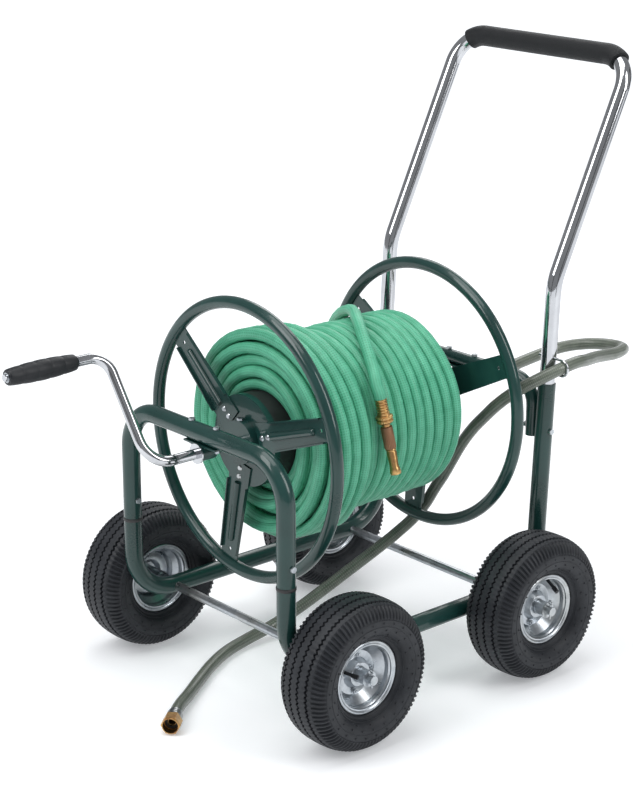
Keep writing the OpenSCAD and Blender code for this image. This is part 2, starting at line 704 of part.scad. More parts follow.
module rear_hub_plate() {
  color(steel_green) translate([0, rear_plate_y, reel_axis_z]) rotate([90, 0, 0])
    hub_plate(rear_boss_r, boss_len, shaft_d / 2 + 0.1, spoke_angle_rear);
}

module drum_barrel() {
  from = front_plate_y + rim_flange + 0.2;
  to = rear_plate_y - rim_flange - 0.2;
  color(black) difference() {
    translate([0, from, reel_axis_z]) rotate([-90, 0, 0]) ring_bar(to - from, drum_r, drum_r - drum_wall);
    translate([0, pipe_y, reel_axis_z]) rotate([0, -pipe_angle + 90, 0]) cylinder(h = 200, r = pipe_r + 0.3);
  }
}

module reel_shaft() {
  color(zinc) difference() {
    translate([0, shaft_front_y, reel_axis_z]) rotate([-90, 0, 0])
      ring_bar(shaft_rear_y - shaft_front_y, shaft_d / 2, shaft_d / 2 - 3.5);
    translate([0, pipe_y, reel_axis_z]) rotate([0, -pipe_angle + 90, 0]) cylinder(h = 200, r = pipe_r - 2);
  }
}

// The pipe that leads the water from the shaft to the wound hose's inner end.
module outlet_pipe() {
  color(brass) translate([0, pipe_y, reel_axis_z]) rotate([0, -pipe_angle + 90, 0]) difference() {
    cylinder(h = drum_r, r = pipe_r);
    translate([0, 0, -1]) cylinder(h = drum_r + 2, r = pipe_r - 2);
    rotate([90, 0, 0]) translate([0, 0, -100]) cylinder(h = 200, r = shaft_d / 2 + 0.1);
    translate([-50, -50, -50]) cube([100, 100, 50]);
  }
}

module rivet(front, back) {
  translate([0, 0, front]) cylinder(h = back - front, r = rivet_r);
  translate([0, 0, front - 1.8]) cylinder(h = 1.8, r1 = 3.6, r2 = 5.2);
  translate([0, 0, back]) cylinder(h = 1.8, r1 = 5.2, r2 = 3.6);
}

module flange_rivets() {
  stack = sheet_t * 1.5 + 0.3;
  color(zinc) for (k = [0 : 2]) for (r = rivet_radii) {
    translate([0, front_ring_y, reel_axis_z]) rotate([-90, 0, 0]) rotate([0, 0, -spoke_angle_front - 120 * k])
      translate([r, 0, 0]) rivet(-sheet_t / 2 - 0.1, stack);
    translate([0, rear_ring_y, reel_axis_z]) rotate([90, 0, 0]) rotate([0, 0, spoke_angle_rear + 120 * k])
      translate([r, 0, 0]) rivet(-sheet_t / 2 - 0.1, stack);
  }
}

// ---- crank ----
module crank_arm() {
  shaft_z = [0, 0, reel_axis_z];
  grip_start_y = grip_inner_y + 4;
  color(chrome) {
    bent_tube([shaft_z + [0, crank_inner_y, 0], shaft_z + [0, crank_arm_y, 0],
               [crank_end[0], crank_arm_y, crank_end[2]], [crank_end[0], grip_start_y, crank_end[2]]],
              [46, 34], crank_d);
    translate([crank_end[0], grip_start_y, crank_end[2]]) rotate([90, 0, 0])
      cylinder(h = grip_start_y - grip_end_y, r = spindle_r);
  }
}

module crank_clamp_bolt() {
  at = [0, front_plate_y - clamp_bolt_at, reel_axis_z];
  color(zinc) translate(at) {
    translate([0, 0, crank_d / 2 + 0.2]) cylinder(h = boss_r - crank_d / 2 + 4, r = bolt_r);
    translate([0, 0, boss_r + 0.5]) cylinder(h = 4, r = 5.6, $fn = 6);
  }
}

// Five finger swellings on a barrel-shaped grip.
function grip_outline(n) = [for (k = [0 : n])
  let (t = k / n, ribs = abs(sin(t * 5 * 180)))
  [12.2 + 3.6 * sin(t * 180) + 1.4 * pow(ribs, 0.6), t * crank_grip_len]];

module crank_grip() {
  bore = spindle_r + run_gap;
  color(black) turned([crank_end[0], grip_outer_y, crank_end[2]], [0, 1, 0],
    concat([[bore, 0]], grip_outline(50), [[bore, crank_grip_len]]));
}

module crank_grip_washers() {
  color(zinc) {
    translate([crank_end[0], grip_outer_y - air_gap / 2, crank_end[2]]) rotate([90, 0, 0])
      ring_bar(grip_washer_t, 8.5, spindle_r + 0.1);
    translate([crank_end[0], grip_inner_y + 1.4 + air_gap, crank_end[2]]) rotate([90, 0, 0])
      ring_bar(grip_washer_t, 8.5, spindle_r + 0.1);
  }
}

// ---- inlet ----
module inlet_swivel_body() {
  color(brass) translate([0, swivel_front_y, reel_axis_z]) rotate([-90, 0, 0]) difference() {
    union() {
      cylinder(h = swivel_rear_y - swivel_front_y - 4, r = 17);
      translate([0, 0, 8]) cylinder(h = 12, r = 20, $fn = 6);
      cylinder(h = inlet_end_y - swivel_front_y, r = 10);
    }
    translate([0, 0, -1]) cylinder(h = shaft_rear_y - swivel_front_y + 2, r = shaft_d / 2 + run_gap);
    translate([0, 0, -1]) cylinder(h = 100, r = 7);
  }
}

module inlet_hose_nut() {
  color(brass) translate([0, inlet_nut_y, reel_axis_z]) rotate([-90, 0, 0]) difference() {
    union() {
      cylinder(h = inlet_nut_len - 6, r = 16, $fn = 6);
      cylinder(h = inlet_nut_len, r = 13);
    }
    translate([0, 0, -1]) cylinder(h = inlet_nut_len + 2, r = 10.1);
  }
}

// ---- leader hose and its coupling ----
module leader_hose() { color(hose_grey) swept(leader_route, leader_d / 2, 12); }

module on_coupling(at) {
  along(coupling_base + coupling_dir * at, coupling_dir) children();
}

module leader_ferrule() {
  color(zinc) on_coupling(0.1) difference() {
    union() {
      cylinder(h = 22, r = 13);
      for (z = [3, 9, 15]) translate([0, 0, z]) cylinder(h = 3, r = 13.6);
    }
    translate([0, 0, -1]) cylinder(h = 24, r = 9);
  }
}

module leader_tail() {
  color(brass) on_coupling(2) difference() {
    union() {
      cylinder(h = 26, r = 8.9);
      translate([0, 0, 23]) cylinder(h = 3, r = 12.4);
    }
    translate([0, 0, -1]) cylinder(h = 40, r = 6.5);
  }
}

module leader_coupling_nut() {
  color(brass) on_coupling(22.6) difference() {
    union() {
      cylinder(h = 22, r = coupling_nut_r, $fn = 6);
      cylinder(h = 24, r = 14.6);
    }
    translate([0, 0, -1]) cylinder(h = 3.1, r = 9.4);
    translate([0, 0, 2]) cylinder(h = 6.2, r = thread_r - 0.4);
    translate([0, 0, 8.2]) cylinder(h = 30, r = thread_r);
  }
}

module leader_washer() {
  color(black) on_coupling(28.4) ring_bar(2.4, 12.8, 7.5);
}

// ---- wound hose and nozzle ----
module hose_pack() {
  c = pack_round;
  front = pack_front_y;
  back = pack_rear_y;
  color(hose_green) translate([0, 0, reel_axis_z]) rotate([-90, 0, 0]) rotate_extrude($fn = 96) polygon([
    [pack_inner_r, front + c / 2], [pack_inner_r + c / 2, front], [pack_front_r - c, front],
    [pack_front_r - c * 0.3, front + c * 0.3], [pack_front_r, front + c],
    [pack_front_r, pack_step_y - c], [pack_front_r - c * 0.3, pack_step_y - c * 0.3],
    [pack_r + 1, pack_step_y + 2], [pack_r, pack_step_y + 4], [pack_r, back - c],
    [pack_r - c * 0.3, back - c * 0.3], [pack_r - c, back], [pack_inner_r + c / 2, back],
    [pack_inner_r, back - c / 2]]);
}

module hose_free_end() { color(hose_green) swept(free_end_route, hose_d / 2, 12); }

module on_nozzle(at) { along(nozzle_base + unit(nozzle_dir) * at, nozzle_dir) children(); }

// Ribbed shank that grips the hose, a collar and the spindle that the barrel turns on.
module nozzle_body() {
  color(brass) on_nozzle(0.2) difference() {
    union() {
      cylinder(h = 24, r = 8.6);
      for (z = [0, 4.5, 9, 13.5, 18]) translate([0, 0, z]) cylinder(h = 2.6, r = 10);
      translate([0, 0, 24]) cylinder(h = 4, r = 10.6);
      cylinder(h = 78, r = 5);
      translate([0, 0, 43]) cylinder(h = 6, r = 7.5);
    }
    translate([0, 0, -1]) cylinder(h = 100, r = 3);
  }
}

module nozzle_nut() {
  color(brass) on_nozzle(0.2) difference() {
    union() {
      translate([0, 0, 28.2]) cylinder(h = 14.6, r = 13);
      translate([0, 0, 30]) cylinder(h = 4, r = 15);
      translate([0, 0, 36]) cylinder(h = 5, r = 14.4);
    }
    cylinder(h = 100, r = 5.1);
  }
}

module nozzle_barrel() {
  color(brass) on_nozzle(0.2) difference() {
    union() {
      translate([0, 0, 49.4]) cylinder(h = 38, r = 10);
      translate([0, 0, 87.4]) cylinder(h = 6, r1 = 10, r2 = 8);
      translate([0, 0, 93.4]) cylinder(h = 28, r1 = 8, r2 = 7.2);
      translate([0, 0, 121.4]) cylinder(h = 12, r1 = 7.2, r2 = 9.4);
    }
    translate([0, 0, 40]) cylinder(h = 42, r = 5 + run_gap);
    translate([0, 0, 40]) cylinder(h = 57.4, r = 4.6);
    translate([0, 0, 40]) cylinder(h = 100, r = 4);
  }
}

left_side_rail();
right_side_rail();
front_frame();
rear_bearing_bar();
push_handle();
handle_foam_grip();
frame_bolts();
hose_hook();
front_axle();
rear_axle();
axle_spacers();
axle_washers();
cotter_pins();
front_bearing_bracket();
front_bush();
rear_bearing_bracket();
rear_bush();
bearing_bolts();
front_ring();
rear_ring();
front_spokes();
rear_spokes();
front_hub_plate();
rear_hub_plate();
drum_barrel();
reel_shaft();
outlet_pipe();
flange_rivets();
crank_arm();
crank_clamp_bolt();
crank_grip();
crank_grip_washers();
inlet_swivel_body();
inlet_hose_nut();
leader_hose();
leader_ferrule();
leader_tail();
leader_coupling_nut();
leader_washer();
hose_pack();
hose_free_end();
nozzle_body();
nozzle_nut();
nozzle_barrel();
for (i = [0 : 3]) {
  wheel_tyre(i);
  wheel_rim(i);
  wheel_hub(i);
  wheel_valve(i);
}
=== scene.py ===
"""The looks of the garden hose reel cart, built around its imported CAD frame. Lengths are in metres."""
import json
import math

import bmesh
import bpy
from mathutils import Matrix, Vector


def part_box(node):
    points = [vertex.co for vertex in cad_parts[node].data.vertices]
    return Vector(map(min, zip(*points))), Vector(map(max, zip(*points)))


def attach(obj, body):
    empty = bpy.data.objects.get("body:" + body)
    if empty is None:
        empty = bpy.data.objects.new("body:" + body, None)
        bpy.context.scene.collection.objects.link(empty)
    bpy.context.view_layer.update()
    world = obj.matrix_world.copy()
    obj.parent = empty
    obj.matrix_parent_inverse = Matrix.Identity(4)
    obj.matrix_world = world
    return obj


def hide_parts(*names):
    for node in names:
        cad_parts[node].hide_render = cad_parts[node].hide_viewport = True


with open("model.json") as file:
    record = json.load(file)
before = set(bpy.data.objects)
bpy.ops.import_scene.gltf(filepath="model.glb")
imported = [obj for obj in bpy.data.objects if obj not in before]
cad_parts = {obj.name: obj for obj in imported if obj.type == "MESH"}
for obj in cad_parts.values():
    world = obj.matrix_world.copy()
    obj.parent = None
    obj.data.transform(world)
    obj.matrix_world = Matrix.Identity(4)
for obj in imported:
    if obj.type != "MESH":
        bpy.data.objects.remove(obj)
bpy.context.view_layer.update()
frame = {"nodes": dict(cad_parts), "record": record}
NODES = frame["nodes"]
MM = 0.001

# ---- sizes shared by several pieces ----
WHEELS = ("front_left", "front_right", "rear_left", "rear_right")
REEL_AXIS_Z = 0.459
LEG_X = 0.209
WOUND_D = 0.021
LEADER_D = 0.022
CAMERA_AZIMUTH = 48.97
CAMERA_ELEVATION = 17.83
CAMERA_PLACE = (2.594, -2.2625, 1.603)
CAMERA_LENS = 93.8
AIR_LIGHT = 0.32
AIR_SEEN = 0.63


def middle_of(node):
    """The middle of a CAD node's box."""
    low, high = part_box(node)
    return (Vector(low) + Vector(high)) / 2


# ---- camera, lights and studio air ----
def view_back(azimuth, elevation):
    """The direction from the cart to a camera at that azimuth and elevation, in degrees."""
    a, e = math.radians(azimuth), math.radians(elevation)
    return Vector((math.sin(a) * math.cos(e), -math.cos(a) * math.cos(e), math.sin(e)))


def make_camera():
    data = bpy.data.cameras.new("camera")
    data.lens = CAMERA_LENS
    data.sensor_width = 36
    data.clip_end = 100
    camera = bpy.data.objects.new("camera", data)
    camera.location = CAMERA_PLACE
    camera.rotation_mode = "QUATERNION"
    camera.rotation_quaternion = (-view_back(CAMERA_AZIMUTH, CAMERA_ELEVATION)).to_track_quat("-Z", "Y")
    bpy.context.collection.objects.link(camera)
    bpy.context.scene.camera = camera


def softbox(name, azimuth, elevation, distance, width, height, power):
    data = bpy.data.lights.new(name, "AREA")
    data.shape = "RECTANGLE"
    data.size, data.size_y = width, height
    data.energy = power
    light = bpy.data.objects.new(name, data)
    back = view_back(azimuth, elevation)
    light.location = Vector((0, 0, 0.5)) + back * distance
    light.rotation_mode = "QUATERNION"
    light.rotation_quaternion = (-back).to_track_quat("-Z", "Y")
    bpy.context.collection.objects.link(light)


def dark_card(name, azimuth, distance, width, height):
    """A black card that only reflections show, as a dark streak in chrome and enamel."""
    bm = bmesh.new()
    bmesh.ops.create_grid(bm, x_segments=1, y_segments=1, size=0.5)
    back = view_back(azimuth, 0)
    spot = Matrix.Translation(Vector((0, 0, height / 2)) + back * distance)
    turn = back.to_track_quat("Z", "Y").to_matrix().to_4x4()
    bmesh.ops.transform(bm, matrix=spot @ turn @ Matrix.Diagonal((width, height, 1, 1)), verts=bm.verts)
    mesh = bpy.data.meshes.new(name)
    bm.to_mesh(mesh)
    bm.free()
    mesh.materials.append(Finish(name, base_color=(0.01, 0.01, 0.012), roughness=0.9).material)
    card = bpy.data.objects.new(name, mesh)
    bpy.context.collection.objects.link(card)
    card.visible_camera = False


def make_studio():
    # name, azimuth and elevation in degrees, distance, width, height, watts
    softbox("key_softbox", 350, 46, 3.4, 1.5, 2.4, 62)
    softbox("side_softbox", 108, 34, 3.6, 0.9, 2.6, 46)
    softbox("top_softbox", 0, 88, 3.2, 2.2, 2.2, 46)
    softbox("back_softbox", 215, 35, 3.6, 2.2, 1.8, 34)
    for name, azimuth, width in (("left_card", 12, 0.5), ("right_card", 84, 0.45), ("rear_card", 160, 0.9)):
        dark_card(name, azimuth, distance=3.9, width=width, height=2.6)
    world = bpy.data.worlds.new("studio_air")
    world.use_nodes = True
    air = world.node_tree.nodes["Background"]
    air.inputs["Color"].default_value = (0.95, 0.97, 1, 1)
    seen = world.node_tree.nodes.new("ShaderNodeLightPath")
    strength = world.node_tree.nodes.new("ShaderNodeMath")
    strength.operation = "MULTIPLY_ADD"
    # the air lights the cart at AIR_LIGHT, and the camera sees it AIR_SEEN brighter
    strength.inputs[1].default_value, strength.inputs[2].default_value = AIR_SEEN, AIR_LIGHT
    world.node_tree.links.new(seen.outputs["Is Camera Ray"], strength.inputs[0])
    world.node_tree.links.new(strength.outputs[0], air.inputs["Strength"])
    bpy.context.scene.world = world
    bpy.context.scene.view_settings.view_transform = "Standard"


# ---- shader expressions ----
class Wire:
    """One socket of a finish's nodes. Arithmetic on wires adds Math nodes."""

    def __init__(self, tree, socket=None):
        self.tree, self.socket = tree, socket

    def add(self, kind, sockets=None, out=0, stops=(), **settings):
        """Adds a node: its settings first, then the values or links of its sockets."""
        node = self.tree.nodes.new("ShaderNode" + kind)
        for name, value in settings.items():
            setattr(node, name, value)
        for k, (place, shade) in enumerate(stops):
            ramp = node.color_ramp.elements
            stop = ramp[k] if k < 2 else ramp.new(place)
            stop.position, stop.color = place, (*shade, 1)
        for name, value in (sockets or {}).items():
            if isinstance(value, Wire):
                self.tree.links.new(value.socket, node.inputs[name])
            else:
                node.inputs[name].default_value = value
        return Wire(self.tree, node.outputs[out])

    def maths(self, operation, *values):
        return self.add("Math", dict(enumerate(values)), operation=operation)

    def __add__(self, other):
        return self.maths("ADD", self, other)

    __radd__ = __add__

    def __sub__(self, other):
        return self.maths("SUBTRACT", self, other)

    def __mul__(self, other):
        return self.maths("MULTIPLY", self, other)

    __rmul__ = __mul__

    def sine(self):
        return self.maths("SINE", self)

    def clamped(self, low, high):
        """0 below low, 1 above high, and even between."""
        return self.add("MapRange", {"Value": self, "From Min": low, "From Max": high})

    def noise(self, scale, detail=4.0, rough=0.55):
        """Noise on this vector, from 0 to 1."""
        return self.add("TexNoise", {"Vector": self, "Scale": scale, "Detail": detail, "Roughness": rough})

    def mix(self, low, high):
        """A colour from low to high by this value."""
        ends = {0: self, 6: low if isinstance(low, Wire) else (*low, 1),
                7: high if isinstance(high, Wire) else (*high, 1)}
        return self.add("Mix", ends, out=2, data_type="RGBA")


class Finish(Wire):
    """A material with one Principled shader, and the coordinates that its pattern reads."""

    def __init__(self, name, **constants):
        self.material = bpy.data.materials.new(name)
        self.material.use_nodes = True
        super().__init__(self.material.node_tree)
        self.shader = self.tree.nodes["Principled BSDF"]
        coords = self.tree.nodes.new("ShaderNodeTexCoord")
        self.place = Wire(self.tree, coords.outputs["Object"])
        self.along = Wire(self.tree, coords.outputs["UV"])
        self.set(**constants)

    def set(self, **values):
        """Sets the shader's sockets, such as base_color or roughness."""
        for name, value in values.items():
            socket = self.shader.inputs[name.replace("_", " ").title().replace("Ior", "IOR")]
            if isinstance(value, Wire):
                self.tree.links.new(value.socket, socket)
            elif isinstance(value, tuple):
                socket.default_value = (*value, 1)
            else:
                socket.default_value = value

    def bump(self, height, depth):
        """Raises the surface by a height from 0 to 1, depth metres at the most."""
        self.set(normal=self.add("Bump", {"Height": height, "Distance": depth, "Strength": 1.0}))


# ---- finishes ----
def green_enamel():
    """Glossy dark green enamel on steel tube, with a faint orange peel and settled dust."""
    coat = Finish("green_enamel", coat_weight=0.5, coat_roughness=0.03, specular_ior_level=0.3)
    cloud = coat.place.noise(9, 5)
    fine = coat.place.noise(420, 2)
    coat.set(base_color=cloud.clamped(0.35, 0.7).mix((0.0058, 0.033, 0.029), (0.011, 0.051, 0.045)),
             roughness=0.2 + 0.13 * cloud + 0.05 * fine)
    coat.bump(coat.place.noise(260, 3), 0.00012)
    return coat.material


def chrome_plate():
    """Bright chrome with faint wiping marks."""
    plate = Finish("chrome_plate", metallic=1.0)
    smear = plate.place.noise(14, 6, 0.7)
    plate.set(base_color=smear.clamped(0.3, 0.7).mix((0.47, 0.48, 0.50), (0.62, 0.63, 0.65)),
              roughness=0.05 + 0.11 * smear.clamped(0.45, 0.8))
    plate.bump(plate.place.noise(700, 3), 0.00002)
    return plate.material


def zinc_steel():
    """Bright zinc plating: cool grey, mottled, with a trace of yellow."""
    plate = Finish("zinc_steel", metallic=1.0)
    mottle = plate.place.noise(55, 6, 0.65)
    tint = plate.place.noise(11, 3)
    cool = mottle.clamped(0.3, 0.72).mix((0.34, 0.37, 0.40), (0.57, 0.60, 0.63))
    plate.set(base_color=(0.35 * tint.clamped(0.5, 0.75)).mix(cool, (0.46, 0.43, 0.34)),
              roughness=0.2 + 0.2 * mottle)
    plate.bump(plate.place.noise(900, 3), 0.00004)
    return plate.material


def brass_metal():
    """Turned brass, browner where it has tarnished."""
    metal = Finish("brass", metallic=1.0)
    stain = metal.place.noise(60, 6, 0.7)
    metal.set(base_color=stain.clamped(0.38, 0.68).mix((0.66, 0.42, 0.17), (0.40, 0.21, 0.09)),
              roughness=0.2 + 0.28 * stain)
    metal.bump(metal.place.noise(1400, 3), 0.00004)
    return metal.material


def dark_brass_metal():
    """The nozzle's knurled sleeve: brass gone brown and dull."""
    metal = Finish("dark_brass", metallic=0.75)
    stain = metal.place.noise(90, 5)
    metal.set(base_color=stain.mix((0.22, 0.11, 0.06), (0.34, 0.19, 0.11)), roughness=0.42 + 0.2 * stain)
    metal.bump(metal.place.noise(1500, 2), 0.00005)
    return metal.material


def tyre_rubber():
    """Dull grey-black tyre rubber with dust rubbed into it."""
    rubber = Finish("tyre_rubber", specular_ior_level=0.34)
    dust = rubber.place.noise(24, 7, 0.68)
    grain = rubber.place.noise(650, 3)
    rubber.set(base_color=dust.clamped(0.4, 0.75).mix((0.014, 0.016, 0.020), (0.034, 0.037, 0.043)),
               roughness=0.38 + 0.22 * dust + 0.08 * grain)
    rubber.bump(grain, 0.00016)
    return rubber.material


def black_rubber(name="black_rubber", grain_scale=900.0):
    """Soft black rubber with a fine grain."""
    rubber = Finish(name, specular_ior_level=0.35)
    cloud = rubber.place.noise(30, 5)
    grain = rubber.place.noise(grain_scale, 3)
    rubber.set(base_color=cloud.mix((0.006, 0.007, 0.009), (0.014, 0.016, 0.019)),
               roughness=0.32 + 0.2 * grain)
    rubber.bump(grain, 0.00018)
    return rubber.material


def handle_foam():
    """Closed-cell foam: matt, with open pores."""
    foam = Finish("foam", specular_ior_level=0.3)
    pores = foam.add("TexVoronoi", {"Vector": foam.place, "Scale": 620.0})
    cloud = foam.place.noise(40, 4)
    foam.set(base_color=cloud.mix((0.005, 0.006, 0.007), (0.013, 0.014, 0.016)),
             roughness=0.45 + 0.25 * cloud)
    foam.bump(pores, 0.0003)
    return foam.material


def black_plastic():
    plastic = Finish("black_plastic")
    cloud = plastic.place.noise(45, 4)
    plastic.set(base_color=cloud.mix((0.012, 0.012, 0.012), (0.028, 0.028, 0.03)),
                roughness=0.38 + 0.2 * cloud)
    plastic.bump(plastic.place.noise(800, 2), 0.00008)
    return plastic.material


def woven_hose(name, length, cell, strands, light, dark, gap_shade_and_braid, **constants):
    """A hose skin over a braid: crossing strands of one cell's length, with a wavering shade, and a gap colour
    tinted into the low places between the strands, which is painted shade on the green hose and the paler braid
    on the leader.
    """
    skin = Finish(name, **constants)
    parts = skin.add("SeparateXYZ", {"Vector": skin.along})
    run = parts * (2 * math.pi * length / cell)
    turn = Wire(skin.tree, parts.socket.node.outputs[1]) * (2 * math.pi * strands)
    weave = (run + turn).sine() * (run - turn).sine()
    lift = 0.5 + 0.5 * weave
    cloud = skin.place.noise(38, 5, 0.6)
    shade = cloud.clamped(0.3, 0.72).mix(dark, light)
    # where the weave is low, the colour is tinted up to 55% toward the gap colour: painted shade in the gaps
    # between the strands on the green hose, the paler braid on the leader
    skin.set(base_color=(0.55 * lift.clamped(0.5, 0.05)).mix(shade, gap_shade_and_braid),
             roughness=0.36 + 0.2 * cloud)
    skin.bump(lift + 0.4 * skin.place.noise(500, 2), 0.0004)
    return skin.material


# ---- mesh helpers ----
def spun(outline, steps, sharp_bevel=0.0):
    """A closed outline of (radius, along X) spun about the X axis."""
    bm = bmesh.new()
    ring = [bm.verts.new((along, 0, radius)) for radius, along in outline]
    edges = [bm.edges.new(pair) for pair in zip(ring, ring[1:] + ring[:1])]
    bmesh.ops.spin(bm, geom=ring + edges, cent=(0, 0, 0), axis=(1, 0, 0), angle=2 * math.pi,
                   steps=steps, use_merge=True, use_duplicate=False)
    bmesh.ops.remove_doubles(bm, verts=bm.verts, dist=1e-6)
    bmesh.ops.recalc_face_normals(bm, faces=bm.faces)
    if sharp_bevel:
        bevel_sharp(bm, sharp_bevel)
    return bm


def bevel_sharp(bm, width, angle=30):
    """Rounds every edge where the surface turns by more than the angle."""
    sharp = [e for e in bm.edges if len(e.link_faces) == 2 and e.calc_face_angle(0) > math.radians(angle)]
    bmesh.ops.bevel(bm, geom=sharp, offset=width, offset_type="OFFSET", segments=2, profile=0.5,
                    affect="EDGES", material=-1, clamp_overlap=True)


def upright(way):
    """Turns +X to the given direction."""
    return Vector(way).to_track_quat("X", "Z").to_matrix().to_4x4()


def piece(name, bm, material, body, replaces=(), smooth_angle=32):
    """Makes an object from a bmesh, shades it and puts it on its body."""
    mesh = bpy.data.meshes.new(name)
    bm.to_mesh(mesh)
    bm.free()
    mesh.shade_smooth()
    mesh.set_sharp_from_angle(angle=math.radians(smooth_angle))
    return placed(name, mesh, material, body, replaces)


def placed(name, data, material, body, replaces=()):
    """Links an object for this mesh or curve and puts it on its body."""
    obj = bpy.data.objects.new(name, data)
    bpy.context.collection.objects.link(obj)
    if material:
        data.materials.append(material)
    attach(obj, body)
    if replaces:
        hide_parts(*replaces)
    return obj


# ---- hoses ----
LEADER_ROUTE = [
    (0, 424.2, 459), (0, 470, 460), (1, 520, 466), (6, 572, 473), (17, 606, 479), (42, 633, 485),
    (76, 647, 490), (113, 645, 495), (145, 628, 501), (168, 599, 507), (184, 560, 512),
    (194, 524, 518), (210, 476, 527), (229, 430, 535), (240.5, 392, 541), (240.5, 352, 537),
    (220, 314, 519), (190, 291, 495), (158, 283, 467), (128, 283, 438), (95, 284, 404),
    (67, 286, 369), (46, 287, 337), (24, 286, 300), (2, 284, 266), (-16, 279, 233),
    (-34, 268, 203), (-54, 244, 172), (-75, 209, 140), (-96, 166, 107), (-113, 116, 75),
    (-126, 60, 46), (-133, 1, 25), (-134, -60, 14.5), (-122, -114, 12), (-98, -165, 12),
    (-64, -220, 12), (-24, -278, 13.5), (13.3, -329.6, 18), (28, -346, 18)]
FREE_END_ROUTE = [
    (-65, 118, 621), (-31, 104, 632), (25, 66, 634), (74, 35, 620), (120, 12, 590),
    (147, -3, 572), (160, -10, 558), (166.7, -11, 548.8), (168, -10, 541)]
NOZZLE_BASE = (0.168, -0.010, 0.541)
NOZZLE_WAY = (21, 17, -129)
KNURL_STEPS = 48
LAYER_RADII = (0.090, 0.111, 0.132, 0.153, 0.1745)
PACK_FRONT_Y = -0.127
PACK_REAR_Y = 0.1935
TURNS_ACROSS = 15
OUTLET_ANGLE = 200.0
POINTS_A_TURN = 24


def smooth(t):
    t = min(max(t, 0.0), 1.0)
    return t * t * (3 - 2 * t)


def wound_place(turns):
    """Radius and Y of the wound hose after so many turns: full layers, a part layer, then a crossing."""
    layer = min(int(turns // (TURNS_ACROSS + 1)), len(LAYER_RADII) - 1)
    here = turns - layer * (TURNS_ACROSS + 1)
    pitch = (PACK_REAR_Y - PACK_FRONT_Y) / TURNS_ACROSS
    across = min(here, TURNS_ACROSS) * pitch
    y = PACK_FRONT_Y + across if layer % 2 == 0 else PACK_REAR_Y - across
    if layer == len(LAYER_RADII) - 1:
        cross_from, cross_to, settled, fall = 3.64, 4.08, 0.165, 0.046
        y = PACK_FRONT_Y + min(here, cross_from) * pitch
        landing = FREE_END_ROUTE[0][1] * MM
        y += (landing + fall - y) * smooth((here - cross_from) / (cross_to - cross_from))
        return LAYER_RADII[layer], y - fall * max(0.0, (here - cross_to) / settled) ** 2
    climb = smooth((here - TURNS_ACROSS - 0.6) / 0.4)
    return LAYER_RADII[layer] + (LAYER_RADII[layer + 1] - LAYER_RADII[layer]) * climb, y


def wound_route():
    """The middle line of the wound hose, from the outlet in the drum to the nozzle."""
    start = math.radians(OUTLET_ANGLE)
    x, _, z = FREE_END_ROUTE[0]
    landing = math.degrees(math.atan2(z * MM - REEL_AXIS_Z, x * MM))
    full = (len(LAYER_RADII) - 1) * (TURNS_ACROSS + 1) + 4
    turns = full + (OUTLET_ANGLE - landing) / 360
    steps = round(turns * POINTS_A_TURN)
    points = []
    for k in range(steps):
        done = turns * k / steps
        radius, y = wound_place(done)
        angle = start - 2 * math.pi * done
        y += 0.0021 * math.sin(2 * angle + 0.19 * done) + 0.0009 * math.sin(5 * angle + 0.4 * done)
        radius += 0.0011 * math.sin(3 * angle + 1.3 * done)
        points.append((radius * math.cos(angle), y, REEL_AXIS_Z + radius * math.sin(angle)))
    return points + [tuple(v * MM for v in p) for p in FREE_END_ROUTE]


def hose(name, points, diameter, between, body, replaces):
    """A hose on one smooth spline through the points, made a mesh. Gives its length too."""
    curve = bpy.data.curves.new(name, "CURVE")
    curve.dimensions = "3D"
    curve.bevel_depth = diameter / 2
    curve.bevel_resolution = 4
    curve.resolution_u = between
    curve.use_fill_caps = True
    spline = curve.splines.new("BEZIER")
    spline.bezier_points.add(len(points) - 1)
    for knot, point in zip(spline.bezier_points, points):
        knot.co = point
        knot.handle_left_type = knot.handle_right_type = "AUTO"
    carrier = bpy.data.objects.new(name + "_line", curve)
    bpy.context.collection.objects.link(carrier)
    bpy.context.view_layer.update()
    ready = carrier.evaluated_get(bpy.context.evaluated_depsgraph_get())
    mesh = bpy.data.meshes.new_from_object(ready)
    bpy.data.objects.remove(carrier)
    mesh.name = name
    mesh.materials.clear()
    mesh.shade_smooth()
    mesh.set_sharp_from_angle(angle=math.radians(50))
    length = sum((Vector(b) - Vector(a)).length for a, b in zip(points, points[1:]))
    return placed(name, mesh, None, body, replaces), length


def on_nozzle(name, bm, material, body, replaces=()):
    """Sets a piece that was made along X onto the nozzle's own line."""
    bmesh.ops.transform(bm, matrix=Matrix.Translation(NOZZLE_BASE) @ upright(NOZZLE_WAY), verts=bm.verts)
    return piece(name, bm, material, body, replaces)


def knurl(bm, beyond, share):
    """Pulls every second row of vertices beyond a radius in to a share of it."""
    for vert in bm.verts:
        row = round(math.atan2(vert.co.y, vert.co.z) * KNURL_STEPS / (2 * math.pi))
        if math.hypot(vert.co.y, vert.co.z) > beyond and row % 2:
            vert.co.yz *= share


